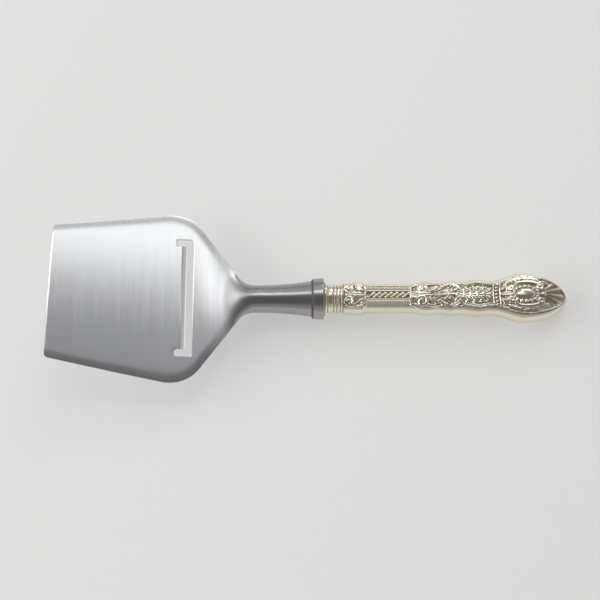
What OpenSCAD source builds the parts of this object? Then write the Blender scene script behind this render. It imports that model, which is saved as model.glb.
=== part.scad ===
// Cheese plane with a sheet-steel blade on a hollow silver handle, lying on a table as it is put down.
// The utensil is drawn along its own axis, with x = 0 at the mouth of the handle, and then laid down.

/* [Blade] */
// Width across the straight front edge
front_w = 57.7; // [45:0.1:66]
// Width across the shoulder corners, before they are rounded
shoulder_w = 77.4; // [70:0.2:90]
// Length of the sides, from the front edge to the shoulder corners
side_l = 56; // [50:0.5:70]
// Length of the shoulders, from their corners to the neck
shoulder_l = 29; // [26:0.5:40]
// Thickness of the sheet
blade_t = 0.9; // [0.8:0.05:1.4]
// Radius of the front corners
front_r = 2; // [0.5:0.1:5]
// Radius of the shoulder corners
shoulder_r = 15.5; // [6:0.5:18]
// Radius of the fillets that run into the neck
fillet_r = 9.4; // [6:0.1:14]
// Length over which the shoulders thicken into the root
funnel_l = 17; // [14:0.5:20]
// Angle at which the sheet rises from the axis of the handle
pitch = 4.4; // [0:0.1:6]
// Radius of the upward sweep along the sheet
sweep_r = 580; // [300:5:800]
// Radius of the crown across the sheet
crown_r = 610; // [250:5:800]

/* [Slot and cutting tongue] */
// Length of the slot across the blade
slot_l = 52; // [40:0.1:56]
// Distance from the front edge to the rear edge of the slot
slot_from_front = 58.4; // [50:0.1:61]
// Gap between the cutting edge and the rear edge of the slot
slot_gap = 3; // [2:0.1:4]
// Width of the arms that run forward from the ends of the slot
arm_w = 3.1; // [2.8:0.1:4]
// Length of the arms, from the rear edge of the slot
arm_l = 7.4; // [6.5:0.1:12]
// Radius of the rear corners of the slot
slot_r = 1.4; // [0.4:0.1:1.4]
// Length of the tongue's lip, which is bent below the sheet
lip_l = 2; // [1.6:0.1:2.4]
// Angle by which the lip is bent
tongue_drop = 12; // [4:0.5:15]
// Length of the bevel that is ground on the cutting edge
bevel_l = 1.6; // [1:0.1:2.5]

/* [Neck and collar] */
// Length of the neck
neck_l = 23.4; // [17:0.1:35]
// Diameter of the neck where it meets the blade
neck_front_d = 11.6; // [10:0.1:14]
// Diameter of the neck at the collar
neck_rear_d = 15.2; // [12:0.1:17]
// Bore of the neck, which takes the root of the blade and the plug of the tang
neck_bore_d = 8; // [7:0.1:9]
// Diameter of the front of the collar
collar_front_d = 16.9; // [15.5:0.1:20]
// Largest diameter of the collar, at its rear
collar_d = 17.8; // [15.5:0.1:21]
// Length of the collar
collar_l = 5; // [3:0.1:8]
// Radius on the edges of the collar
collar_r = 0.5; // [0.2:0.1:1.5]

/* [Tang] */
// Diameter of the rod in the handle
tang_d = 6.4; // [4:0.1:6.6]
// Length of the rod inside the handle
tang_l = 72; // [30:1:80]
// Length of the plug that is fixed in the neck
plug_l = 8; // [4:0.5:8]
// Length of the stub on the root of the blade
stub_l = 7; // [4:0.5:8]

/* [Ferrule] */
// Length of the ferrule on the mouth of the handle
ferrule_l = 8.2; // [8:0.1:12]
// Diameter of the flange against the collar
flange_d = 14.6; // [12.5:0.1:15]
// Width of the flange
flange_l = 1.3; // [1:0.1:1.6]
// Diameter over the rings
ring_d = 12.4; // [11.6:0.1:13]
// Width of the broad ring
broad_ring_l = 2.2; // [1.5:0.1:2.4]
// Height of the rings over the band
ring_h = 0.45; // [0.2:0.05:0.6]
// Width of the fine ring
fine_ring_l = 1; // [0.6:0.1:1.1]
// Width of the rear ring
rear_ring_l = 1.1; // [0.8:0.1:1.2]
// Width of the last ring, against the clasp
last_ring_l = 0.8; // [0.5:0.1:0.9]
// Outer diameter of the round mouth that carries the ferrule
mouth_d = 9.8; // [9.4:0.1:10]

/* [Handle] */
// Thickness of the struck silver
wall = 1.2; // [0.8:0.05:1.3]
// Thickness of the solder between the two halves
seam_t = 0.2; // [0.1:0.05:0.4]
// Fullness of the section: 2 is an ellipse, more is squarer
fullness = 2.5; // [2:0.1:3]
// Width of the clasp behind the ferrule
clasp_w = 13.7; // [12:0.1:16]
// Thickness of the clasp
clasp_t = 11.6; // [11:0.1:13]
// Width of the rear of the clasp
clasp_rear_w = 14.4; // [12:0.1:17]
// Thickness of the rear of the clasp
clasp_rear_t = 12; // [11:0.1:14]
// Length of the clasp
clasp_l = 7.6; // [6:0.1:12]
// Length of the step from the clasp down to the panel
clasp_fall = 2.2; // [1.5:0.1:5]
// Width of the long panel
panel_w = 12.6; // [11:0.1:15]
// Thickness of the panel
panel_t = 10.6; // [10:0.1:12]
// Length of the panel
panel_l = 18; // [12:0.5:30]
// Width of the middle knop
knop_w = 15; // [13:0.1:18]
// Thickness of the knop
knop_t = 12; // [11:0.1:14]
// Length from the panel to the fullest part of the knop
knop_rise = 7.6; // [4:0.1:10]
// Width of the waist behind the knop
waist_w = 13.8; // [12:0.1:16]
// Thickness of the waist
waist_t = 11.2; // [10:0.1:13]
// Length from the knop to the waist
knop_fall = 4.8; // [3:0.1:10]
// Width of the knot behind the waist
knot_w = 15; // [13:0.1:18]
// Thickness of the knot
knot_t = 11.8; // [11:0.1:14]
// Length from the waist to the fullest part of the knot
knot_rise = 5.2; // [3:0.1:10]
// Width of the nip behind the knot
nip_w = 14.4; // [12:0.1:17]
// Thickness of the nip
nip_t = 11.6; // [10:0.1:13]
// Length from the knot to the nip
knot_fall = 4.2; // [3:0.1:10]
// Width of the upper swell
swell_w = 16.2; // [13:0.1:18]
// Thickness of the upper swell
swell_t = 12.4; // [11:0.1:14]
// Length from the nip to the swell
swell_rise = 7.4; // [4:0.1:14]
// Width of the throat below the head
throat_w = 15.2; // [12:0.1:18]
// Thickness of the throat
throat_t = 11.8; // [10:0.1:14]
// Length from the swell to the throat
swell_fall = 5.6; // [3:0.1:12]
// Width of the head
head_w = 21.6; // [17:0.1:26]
// Thickness of the head
head_t = 13.6; // [12:0.1:17]
// Length from the throat to the widest part of the head
head_rise = 13.5; // [8:0.1:20]
// Length of the rounded end
tip_l = 18.9; // [10:0.1:24]

/* [Fits] */
// Width of the cement, solder and brazing lines between pieces
joint_gap = 0.05; // [0.02:0.01:0.1]

/* [Hidden] */
$fn = 96;

// Places along the axis, from the mouth of the handle
collar_x = -collar_l;
root_x = collar_x - neck_l;
corner_x = root_x - shoulder_l;
front_x = corner_x - side_l;
slot_x = front_x + slot_from_front;
edge_x = slot_x - slot_gap;
arm_x = slot_x - arm_l;
arm_end_x = arm_x + arm_w / 2;
bend_x = edge_x - lip_l;
step_x = ferrule_l + clasp_l;
panel_x = step_x + clasp_fall;
knop_x = panel_x + panel_l + knop_rise;
knot_x = knop_x + knop_fall + knot_rise;
swell_x = knot_x + knot_fall + swell_rise;
head_x = swell_x + swell_fall + head_rise;
tip_x = head_x + tip_l;

// Radius, angle and centre of the arc that the middle of the sheet follows
sweep_fn = 256;
sweep_c = [root_x + sweep_r * sin(pitch), sweep_r * cos(pitch)];
function sheet_z(x) = sweep_c.y - sqrt(pow(sweep_r, 2) - pow(sweep_c.x - x, 2));
function sheet_slope(x) = asin((sweep_c.x - x) / sweep_r);

// The handle rests on the rear edge of the collar and on the fullest part of its head
rest_x = -collar_r;
lay_tilt = atan((collar_d - head_t) / 2 / (head_x - rest_x));
lay_z = collar_d / 2 * cos(lay_tilt) + rest_x * sin(lay_tilt);
laid_front_x = front_x * cos(lay_tilt) + (sheet_z(front_x) - blade_t / 2) * sin(lay_tilt);
laid_tip_x = tip_x * cos(lay_tilt);
lay_x = -(laid_front_x + laid_tip_x) / 2;

module lay() {
    translate([lay_x, 0, lay_z]) rotate([0, lay_tilt, 0]) children();
}

// Curves of the outlines
arc_steps = 8;
function arc(c, r, from, to) =
    [for (i = [0 : arc_steps]) let (a = from + (to - from) * i / arc_steps) c + r * [cos(a), sin(a)]];
function unit(v) = v / norm(v);
function heading(v) = atan2(v.y, v.x);
function swing(a) = a > 180 ? a - 360 : a < -180 ? a + 360 : a;
function rounded(before, corner, after, r) =
    let (
        u = unit(before - corner),
        v = unit(after - corner),
        half = acos(u * v) / 2,
        c = corner + unit(u + v) * r / sin(half),
        from = heading(corner + u * r / tan(half) - c),
        to = heading(corner + v * r / tan(half) - c)
    )
    arc(c, r, from, from + swing(to - from));
function both_sides(points) =
    concat(points, [for (i = [len(points) - 1 : -1 : 0]) [points[i].x, -points[i].y]]);

// A turned piece, from points that give the place on the axis and the radius
module turned(points) {
    rotate([0, 90, 0]) rotate_extrude() polygon([for (p = points) [p.y, p.x]]);
}
module rod(d, from, to) {
    translate([from, 0, 0]) rotate([0, 90, 0]) cylinder(d = d, h = to - from);
}

// Faces of a skin of closed rings that ends in a flat mouth and a point
function skin_faces(rings, sides) = concat(
    [[for (j = [0 : sides - 1]) j]],
    [
        for (i = [0 : rings - 2]) for (j = [0 : sides - 1])
        let (k = (j + 1) % sides, a = i * sides, b = a + sides)
        each [[a + j, b + j, b + k], [a + j, b + k, a + k]]
    ],
    [
        for (j = [0 : sides - 1])
        let (a = (rings - 1) * sides)
        [a + j, rings * sides, a + (j + 1) % sides]
    ]
);

// Outline of the blade: the shoulder line touches the fillet that runs into the neck
neck_r = neck_front_d / 2;
fillet_c = [root_x, neck_r + fillet_r];
corner_p = [corner_x, shoulder_w / 2];
front_p = [front_x, front_w / 2];
shoulder_turn = heading(fillet_c - corner_p) - asin(fillet_r / norm(fillet_c - corner_p));
shoulder_end = fillet_c + fillet_r * [cos(shoulder_turn - 90), sin(shoulder_turn - 90)];
function blade_half_w(x) =
    x < shoulder_end.x
        ? corner_p.y + (x - corner_x) * tan(shoulder_turn)
        : fillet_c.y - sqrt(pow(fillet_r, 2) - pow(root_x - x, 2));

module sheet_outline() {
    polygon(both_sides(concat(
        rounded([front_x, 0], front_p, corner_p, front_r),
        rounded(front_p, corner_p, shoulder_end, shoulder_r),
        [shoulder_end]
    )));
}

// The bare sheet, swept up along its length and crowned across its width
sheet_margin = 1;
module sheet() {
    from = sheet_slope(root_x);
    to = sheet_slope(front_x - sheet_margin);
    band_w = shoulder_w + 2 * sheet_margin;
    translate([sweep_c.x, 0, sweep_c.y]) rotate([90, 0, 0])
        rotate_extrude(angle = to - from, start = 270 - to, $fn = sweep_fn) intersection() {
            translate([sweep_r + crown_r, 0]) difference() {
                circle(r = crown_r + blade_t / 2, $fn = sweep_fn);
                circle(r = crown_r - blade_t / 2, $fn = sweep_fn);
            }
            translate([sweep_r - blade_t, -band_w / 2]) square([crown_r / 2, band_w]);
        }
}

// A prism over a plan outline, as tall as the blade is wide, which cuts the whole sheet
module over_plan() {
    translate([0, 0, -shoulder_w / 2]) linear_extrude(shoulder_w) children();
}

module slot_outline() {
    for (side = [-1, 1]) {
        arm_y = side * (slot_l - arm_w) / 2;
        hull() {
            translate([arm_end_x, arm_y]) circle(d = arm_w);
            for (end = [-1, 1])
                translate([slot_x - slot_r, arm_y + end * (arm_w / 2 - slot_r)]) circle(r = slot_r);
        }
    }
    translate([bend_x, -(slot_l - arm_w) / 2]) square([slot_x - bend_x, slot_l - arm_w]);
}

// The lip of the tongue is the same sheet, bent down and ground to an edge
tongue_w = slot_l - 2 * arm_w;
lip_root = 0.3;
module lip() {
    bend_z = sheet_z(bend_x);
    difference() {
        intersection() {
            translate([bend_x, 0, bend_z]) rotate([0, tongue_drop, 0])
                translate([-bend_x, 0, -bend_z]) sheet();
            over_plan() translate([bend_x - lip_root, -tongue_w / 2])
                square([edge_x - bend_x + lip_root, tongue_w]);
        }
        edge_slope = sheet_slope(edge_x) + tongue_drop;
        edge_z = bend_z - (edge_x - bend_x) * tan(edge_slope) - blade_t / 2;
        crown_drop = pow(tongue_w / 2, 2) / crown_r / 2;
        translate([edge_x, 0, edge_z - crown_drop])
            rotate([0, edge_slope + atan((blade_t + crown_drop) / bevel_l), 0])
            translate([-bevel_l * 3, -slot_l / 2, 0]) cube([bevel_l * 6, slot_l, bevel_l * 3]);
    }
}

// The shoulders thicken from the sheet into the round root
root_rings = 12;
root_sides = 36;
root_start = root_x - funnel_l;
root_rim = 0.6;
root_edge_t = blade_t / 2;
function smooth(s) = s * s * (3 - 2 * s);
module root() {
    points = [
        for (i = [0 : root_rings - 1])
        let (
            s = i / (root_rings - 1),
            x = root_start + (root_x - root_start) * s,
            h = root_edge_t / 2 + (neck_r - root_edge_t / 2) * smooth(s),
            w = blade_half_w(x) - root_rim * (1 - smooth(s))
        )
        for (j = [0 : root_sides - 1])
        let (a = 360 * j / root_sides, y = w * cos(a))
        [x, y, sheet_z(x) + h * sin(a) - pow(y, 2) / crown_r / 2 * (1 - s)]
    ];
    ends = [[for (j = [0 : root_sides - 1]) (root_rings - 1) * root_sides + root_sides - 1 - j]];
    side_faces = [for (f = skin_faces(root_rings, root_sides)) if (max(f) < len(points)) f];
    polyhedron(points, concat(side_faces, ends));
    rod(neck_bore_d - 2 * joint_gap, root_x - stub_l / 2, root_x + stub_l);
}

module blade() {
    color("gainsboro") lay() {
        difference() {
            intersection() {
                sheet();
                over_plan() sheet_outline();
            }
            over_plan() slot_outline();
        }
        lip();
        root();
    }
}

module neck() {
    flare = (neck_rear_d - neck_front_d) / 2;
    flare_r = (pow(neck_l, 2) + pow(flare, 2)) / (2 * flare);
    curve = arc([root_x, neck_r + flare_r], flare_r, -90, -90 + asin(neck_l / flare_r));
    color("lightgray") lay() difference() {
        turned(concat([[root_x, 0]], curve, [[collar_x, 0]]));
        rod(neck_bore_d, root_x - 1, collar_x + 1);
    }
}

module collar() {
    front_c = [collar_x + collar_r, collar_front_d / 2 - collar_r];
    rear_c = [-collar_r, collar_d / 2 - collar_r];
    flare = heading(rear_c - front_c);
    color("lightgray") lay() difference() {
        turned(concat(
            [[collar_x, 0]],
            arc(front_c, collar_r, 180, 90 + flare),
            arc(rear_c, collar_r, 90 + flare, 0),
            [[0, 0]]
        ));
        rod(tang_d + 2 * joint_gap, collar_x - 1, 1);
    }
}

module tang() {
    color("darkgray") lay() {
        rod(neck_bore_d - 2 * joint_gap, collar_x - plug_l, collar_x);
        rod(tang_d, collar_x - 1, tang_l);
    }
}

// Rings of the ferrule: place of the middle, width and diameter of each
ring_gap = (ferrule_l - flange_l - broad_ring_l - fine_ring_l - rear_ring_l - last_ring_l) / 5;
broad_x = flange_l + ring_gap + broad_ring_l / 2;
fine_x = broad_x + (broad_ring_l + fine_ring_l) / 2 + ring_gap;
rear_x = fine_x + (fine_ring_l + rear_ring_l) / 2 + ring_gap;
last_x = rear_x + (rear_ring_l + last_ring_l) / 2 + ring_gap;
ferrule_bore_d = mouth_d + 2 * joint_gap;
ferrule_tube_d = ring_d - 2 * ring_h;
module ferrule() {
    rings = [[broad_x, broad_ring_l], [fine_x, fine_ring_l], [rear_x, rear_ring_l], [last_x, last_ring_l]];
    color("lightgoldenrodyellow") lay() rotate([0, 90, 0]) rotate_extrude() difference() {
        union() {
            square([ferrule_tube_d / 2, ferrule_l]);
            for (r = rings) translate([ferrule_tube_d / 2, r[0]]) scale([2 * ring_h, r[1]]) circle(d = 1);
            translate([(flange_d - flange_l) / 2, flange_l / 2]) circle(d = flange_l);
            square([(flange_d - flange_l) / 2, flange_l]);
        }
        translate([-ring_d, -1]) square([ring_d + ferrule_bore_d / 2, ferrule_l + 2]);
    }
}

// Swells and waists of the handle: place, width and thickness of each
stops = [
    [ferrule_l, clasp_w, clasp_t],
    [step_x, clasp_rear_w, clasp_rear_t],
    [panel_x, panel_w, panel_t],
    [panel_x + panel_l, panel_w, panel_t],
    [knop_x, knop_w, knop_t],
    [knop_x + knop_fall, waist_w, waist_t],
    [knot_x, knot_w, knot_t],
    [knot_x + knot_fall, nip_w, nip_t],
    [swell_x, swell_w, swell_t],
    [swell_x + swell_fall, throat_w, throat_t],
    [head_x, head_w, head_t],
];
stop_steps = 4;
facets = 12;

// The last ring of the rounded end stands half a step before its tip
tip_steps = 7;
tip_last = 90 * tip_steps / (tip_steps + 0.5);

// Stations along a skin that lies an inset inside the handle: place, half width and half thickness
function body_stations(inset) = [
    for (k = [0 : len(stops) - 2]) for (i = [0 : stop_steps - 1])
    let (
        s = i / stop_steps,
        p = stops[k],
        step = stops[k + 1] - stops[k],
        x = p[0] + step[0] * s,
        w = p[1] + step[1] * smooth(s),
        t = p[2] + step[2] * smooth(s)
    )
    [max(x, ferrule_l + inset), w / 2 - inset, t / 2 - inset, fullness]
];
function tip_stations(inset) = [
    for (i = [0 : tip_steps])
    let (a = tip_last * i / tip_steps)
    [
        head_x + (tip_l - inset) * sin(a),
        (head_w / 2 - inset) * cos(a),
        (head_t / 2 - inset) * cos(a),
        fullness,
    ]
];
function stations(inset) =
    let (mouth_r = mouth_d / 2 - inset)
    concat(
        [[0, mouth_r, mouth_r, 2], [ferrule_l + inset / 2, mouth_r, mouth_r, 2]],
        body_stations(inset),
        tip_stations(inset)
    );
function power(v, n) = sign(v) * pow(abs(v), n);
function half_ring(s, foot) = [
    for (j = [0 : facets])
    let (a = 180 * j / facets)
    [s[0], s[1] * power(cos(a), 2 / s[3]), foot + (s[2] - foot) * power(sin(a), 2 / s[3])]
];
function full_ring(s) = [
    for (j = [0 : 2 * facets - 1])
    let (a = 180 * j / facets)
    [s[0], s[1] * power(cos(a), 2 / s[3]), s[2] * power(sin(a), 2 / s[3])]
];

// One struck half, open along its flat edge and at the mouth
module half_shell() {
    foot = seam_t / 2;
    outer = stations(0);
    inner = stations(wall);
    m = facets + 1;
    rings = len(outer);
    last = rings - 1;
    outer_tip = rings * m;
    base = outer_tip + 1;
    inner_tip = base + rings * m;
    points = concat(
        [for (s = outer) each half_ring(s, foot)], [[tip_x, 0, foot]],
        [for (s = inner) each half_ring(s, foot)], [[tip_x - wall, 0, foot]]
    );
    skins = [
        for (i = [0 : last - 1]) for (j = [0 : facets - 1])
        let (a = i * m + j, b = a + m)
        each [
            [a, b, b + 1], [a, b + 1, a + 1],
            [base + a, base + b + 1, base + b], [base + a, base + a + 1, base + b + 1],
        ]
    ];
    tips = [
        for (j = [0 : facets - 1])
        let (a = last * m + j)
        each [[a, outer_tip, a + 1], [base + a, base + a + 1, inner_tip]]
    ];
    mouth = [for (j = [0 : facets - 1]) each [[j, j + 1, base + j + 1], [j, base + j + 1, base + j]]];
    edges = [
        for (i = [0 : last])
        let (
            a = i * m,
            b = i < last ? a + m : outer_tip,
            c = i < last ? base + a + m : inner_tip,
            far_b = i < last ? b + facets : outer_tip,
            far_c = i < last ? c + facets : inner_tip
        )
        each [
            [a, base + a, c], [a, c, b],
            [a + facets, far_b, far_c], [a + facets, far_c, base + a + facets],
        ]
    ];
    polyhedron(points, concat(skins, tips, mouth, edges));
}

module handle_front_half() {
    color("lightgoldenrodyellow") lay() half_shell();
}

module handle_back_half() {
    color("lightgoldenrodyellow") lay() mirror([0, 0, 1]) half_shell();
}

module solder_seam() {
    outer = [for (s = stations(0)) [s[0], s[1]]];
    inner = [for (s = stations(wall)) [s[0], s[1]]];
    color("silver") lay() translate([0, 0, -seam_t / 2]) linear_extrude(seam_t) difference() {
        polygon(both_sides(concat(outer, [[tip_x, 0]])));
        polygon(both_sides(concat([[-1, inner[0].y]], inner, [[tip_x - wall, 0]])));
    }
}

module cement_core() {
    skin = stations(wall + joint_gap);
    sides = 2 * facets;
    points = concat([for (s = skin) each full_ring(s)], [[tip_x - wall - joint_gap, 0, 0]]);
    color("tan") lay() difference() {
        polyhedron(points, skin_faces(len(skin), sides));
        rod(tang_d + 2 * joint_gap, -1, tang_l + joint_gap);
    }
}

blade();
neck();
collar();
tang();
ferrule();
handle_front_half();
handle_back_half();
solder_seam();
cement_core();
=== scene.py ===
from math import atan2, cos, hypot, pi, radians, sin, tan

import bpy
import numpy as np
from mathutils import Matrix, Vector


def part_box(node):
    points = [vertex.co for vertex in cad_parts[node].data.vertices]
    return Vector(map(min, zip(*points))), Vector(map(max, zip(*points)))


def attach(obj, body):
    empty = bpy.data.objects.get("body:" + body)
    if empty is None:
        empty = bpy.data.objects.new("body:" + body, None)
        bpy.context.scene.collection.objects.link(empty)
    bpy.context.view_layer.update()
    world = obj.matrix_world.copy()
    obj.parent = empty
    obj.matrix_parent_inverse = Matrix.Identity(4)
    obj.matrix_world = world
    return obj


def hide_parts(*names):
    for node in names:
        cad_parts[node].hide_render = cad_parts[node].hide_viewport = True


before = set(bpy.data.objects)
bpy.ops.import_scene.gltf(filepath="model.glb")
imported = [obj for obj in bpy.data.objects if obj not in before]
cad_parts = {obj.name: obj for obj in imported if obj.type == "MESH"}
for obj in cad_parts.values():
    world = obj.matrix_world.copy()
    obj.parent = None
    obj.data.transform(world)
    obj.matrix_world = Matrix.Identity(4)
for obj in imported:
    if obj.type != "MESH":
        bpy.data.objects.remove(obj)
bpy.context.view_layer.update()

# Blade
# A plate of stainless sheet with a slot in front of its shoulders, whose front lip is bent down and
# ground to the cutting edge. The shoulders thicken into the round root, and the face is brushed across.
seam_t = 0.0002
seam_low, seam_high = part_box("solder_seam")
mouth = Vector((seam_low.x, 0, seam_high.z - seam_t / 2))
tip = Vector((seam_high.x, 0, seam_low.z + seam_t / 2))
handle_l = (tip - mouth).length
tilt = atan2(mouth.z - tip.z, tip.x - mouth.x)
lie = Matrix.Translation(mouth) @ Matrix.Rotation(tilt, 4, "Y")

collar_l = 0.005
neck_l = 0.0234
neck_r = 0.0058
shoulder_l = 0.029
side_l = 0.056
root_x = -collar_l - neck_l
corner_x = root_x - shoulder_l
front_x = corner_x - side_l
front_w = 0.0577
shoulder_w = 0.07738
side_slope = (shoulder_w - front_w) / 2 / side_l
front_r = 0.002
shoulder_r = 0.0155
fillet_r = 0.0094
sheet_t = 0.0009
pitch = radians(4.4)
sweep_r = 0.58
crown_r = 0.61
slot_from_front = 0.0584
slot_gap = 0.003
arm_w = 0.0031
arm_l = 0.0074
lip_l = 0.002
slot_x = front_x + slot_from_front
edge_x = slot_x - slot_gap
arm_x = slot_x - arm_l
arm_end_x = arm_x + arm_w / 2
bend_x = edge_x - lip_l
slot_y = 0.026
tongue_y = slot_y - arm_w
tongue_r = 0.0008
lip_drop = radians(12)
slot_r = 0.0014
grind_l = 0.0016
grind_left = 0.00008
rim_r = 0.0002
roll_w = 0.0042
roll_drop = 0.00028
root_blend = 0.008
funnel_l = 0.017
swell_x = root_x - funnel_l
arch = 2.4
ridge_power, ridge_ease = 1.6, 1.1
plate_step = 0.0011


def smooth(s):
    s = np.clip(s, 0, 1)
    return s * s * (3 - 2 * s)


def half_width(x):
    """Half the width of the blade: sides, rounded corners, shoulders and the fillets into the neck."""
    to_fillet = np.array([shoulder_l, neck_r + fillet_r - shoulder_w / 2])
    turn = atan2(to_fillet[1], to_fillet[0]) - np.arcsin(fillet_r / hypot(*to_fillet))
    shoulder_slope = tan(turn)
    shoulder_end = root_x + fillet_r * sin(turn)
    side_n, shoulder_n = hypot(1, side_slope), hypot(1, shoulder_slope)
    round_x = corner_x + shoulder_r * (side_n - shoulder_n) / (side_slope - shoulder_slope)
    round_y = shoulder_w / 2 + side_slope * (round_x - corner_x) - shoulder_r * side_n
    side_end = round_x - shoulder_r * side_slope / side_n
    round_end = round_x - shoulder_r * shoulder_slope / shoulder_n
    side = shoulder_w / 2 + side_slope * (x - corner_x)
    rounded = round_y + np.sqrt(np.maximum(shoulder_r**2 - (x - round_x)**2, 0))
    shoulder = shoulder_w / 2 + shoulder_slope * (x - corner_x)
    fillet = neck_r + fillet_r - np.sqrt(np.maximum(fillet_r**2 - (root_x - x)**2, 0))
    return np.select(
        [x < side_end, x < round_end, x < shoulder_end], [side, rounded, shoulder], fillet)


def spaced(marks, step):
    """Places between the marks, no further apart than the step."""
    runs = [
        np.linspace(a, b, int(np.ceil((b - a) / step - 1e-6)) + 1)[:-1]
        for a, b in zip(marks, marks[1:])]
    return np.concatenate(runs + [marks[-1:]])


def added_grid(name, rows, columns):
    """A flat grid, and the row and the column of each of its points."""
    bpy.ops.object.select_all(action="DESELECT")
    bpy.ops.mesh.primitive_grid_add(x_subdivisions=rows - 1, y_subdivisions=columns - 1, size=2)
    piece = bpy.context.object
    piece.name = piece.data.name = name
    flat = points_of(piece)
    row = np.rint((flat[:, 0] + 1) / 2 * (rows - 1)).astype(int)
    column = np.rint((flat[:, 1] + 1) / 2 * (columns - 1)).astype(int)
    return piece, row, column


def points_of(piece):
    """The places of a mesh's points, one to a row."""
    points = np.empty(len(piece.data.vertices) * 3)
    piece.data.vertices.foreach_get("co", points)
    return points.reshape(-1, 3)


def move_points(piece, points):
    piece.data.vertices.foreach_set("co", np.ascontiguousarray(points, dtype=float).ravel())
    piece.data.update()


def apply_modifier(piece, kind, **settings):
    modifier = piece.modifiers.new(kind.lower(), kind)
    for setting, value in settings.items():
        setattr(modifier, setting, value)
    bpy.context.view_layer.objects.active = piece
    bpy.ops.object.modifier_apply(modifier=modifier.name)


def lay_down(piece, node, finish):
    """Puts a piece, made along the handle's axis, where its CAD node lies, and gives it its finish."""
    bpy.ops.object.select_all(action="DESELECT")
    piece.select_set(True)
    bpy.context.view_layer.objects.active = piece
    piece.matrix_world = lie
    bpy.ops.object.transform_apply(location=True, rotation=True, scale=True)
    piece.data.materials.clear()
    piece.data.materials.append(finish)
    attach(piece, "root")
    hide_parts(node)


def onto_round(points, chosen, centre, radius):
    """Draws the chosen points of a square corner in to a round one."""
    away = points[chosen, :2] - centre
    points[chosen, :2] = centre + radius * away / np.linalg.norm(away, axis=1)[:, None]


# The plate starts as a flat grid, with rows and columns closer together at the slot, its arms and the lip
stations = spaced(np.array([
    front_x, front_x + front_r * 1.3, arm_x - 0.003, arm_x, arm_end_x, bend_x, edge_x - grind_l,
    edge_x - tongue_r, edge_x, slot_x - slot_r, slot_x, slot_x + 0.002, root_x]), plate_step)
arm_rows = np.linspace(arm_x, arm_end_x, 5)
corner_rows = np.linspace(slot_x - slot_r, slot_x, 6)
crisp_rows = [front_x + 0.0006, arm_x - 0.0003, bend_x - 0.0002, slot_x + 0.0003]
stations = np.unique(np.concatenate([stations, arm_rows, corner_rows, crisp_rows]))
half_columns = np.concatenate([
    spaced(np.array([0, tongue_y - tongue_r]), plate_step)[:-1],
    np.linspace(tongue_y - tongue_r, tongue_y, 3)[:-1],
    np.linspace(tongue_y, slot_y - slot_r, 5)[:-1],
    np.linspace(slot_y - slot_r, slot_y, 6)])
outer_share = np.array([0.03, 0.2, 0.4, 0.57, 0.71, 0.82, 0.9, 0.96, 1])
widths = half_width(stations)
slot_half = half_width(np.array([slot_x]))[0]


def column_places(x, width):
    """Where the columns of the plate cross a station: straight at the slot, then drawn in to the root."""
    scale = min(width / slot_half, 1) if x > slot_x else 1
    inner = half_columns * scale
    outer = inner[-1] + outer_share * (width - inner[-1])
    plain = np.concatenate([inner, outer])
    rounded = width * np.sin(pi / 2 * np.arange(len(plain)) / (len(plain) - 1))
    share = smooth((x - slot_x) / (root_x - slot_x))
    places = plain + share * (rounded - plain)
    return np.concatenate([-places[:0:-1], places])


plan = np.array([column_places(x, width) for x, width in zip(stations, widths)])
blade, row, column = added_grid("blade_plate", len(stations), plan.shape[1])
points = np.column_stack([stations[row], plan[row, column], np.zeros(len(row))])
across = np.abs(points[:, 1])
near = 1e-7
in_slot = (points[:, 0] > edge_x - near) & (points[:, 0] < slot_x + near) & (across < slot_y + near)
in_arm = (points[:, 0] > arm_x - near) & (points[:, 0] < slot_x + near) & (across > tongue_y - near) \
    & (across < slot_y + near)
bpy.ops.object.mode_set(mode="EDIT")
bpy.ops.mesh.select_mode(type="FACE")
bpy.ops.mesh.select_all(action="DESELECT")
bpy.ops.object.mode_set(mode="OBJECT")
for face in blade.data.polygons:
    corners = list(face.vertices)
    face.select = bool(in_slot[corners].all() or in_arm[corners].all())

# The square corners of the plate, the slot and its arms are rounded on the flat grid
front_c = front_w / 2 + side_slope * front_r - front_r * hypot(1, side_slope)
on_rim = (row == 0) | (column == 0) | (column == plan.shape[1] - 1)
for side in (-1, 1):
    y = points[:, 1] * side
    corner = on_rim & (points[:, 0] < front_x + front_r) & (y > front_c)
    onto_round(points, corner, np.array([front_x + front_r, side * front_c]), front_r)
    arm_rim = (np.abs(points[:, 0] - arm_x) < near) | (np.abs(y - tongue_y) < near)
    arm_rim |= np.abs(y - slot_y) < near
    arm_end = arm_rim & (points[:, 0] > arm_x - near) & (points[:, 0] < arm_end_x - near) \
        & (y > tongue_y - near) & (y < slot_y + near)
    rear_rim = (np.abs(points[:, 0] - slot_x) < near) | (np.abs(y - slot_y) < near)
    rear_end = rear_rim & (points[:, 0] > slot_x - slot_r + near) & (points[:, 0] < slot_x + near) \
        & (y > slot_y - slot_r + near) & (y < slot_y + near)
    lip_rim = (np.abs(points[:, 0] - edge_x) < near) | (np.abs(y - tongue_y) < near)
    lip_end = lip_rim & (points[:, 0] > edge_x - tongue_r + near) & (points[:, 0] < edge_x + near) \
        & (y > tongue_y - tongue_r + near) & (y < tongue_y + near)
    onto_round(points, arm_end, np.array([arm_end_x, side * (slot_y - arm_w / 2)]), arm_w / 2)
    onto_round(points, rear_end, np.array([slot_x - slot_r, side * (slot_y - slot_r)]), slot_r)
    onto_round(points, lip_end, np.array([edge_x - tongue_r, side * (tongue_y - tongue_r)]), tongue_r)
move_points(blade, points)
bpy.ops.object.mode_set(mode="EDIT")
bpy.ops.mesh.delete(type="FACE")
bpy.ops.object.mode_set(mode="OBJECT")
apply_modifier(blade, "SOLIDIFY", thickness=sheet_t, offset=0)
apply_modifier(blade, "BEVEL", width=rim_r, segments=3, limit_method="ANGLE", angle_limit=radians(50))

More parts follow.
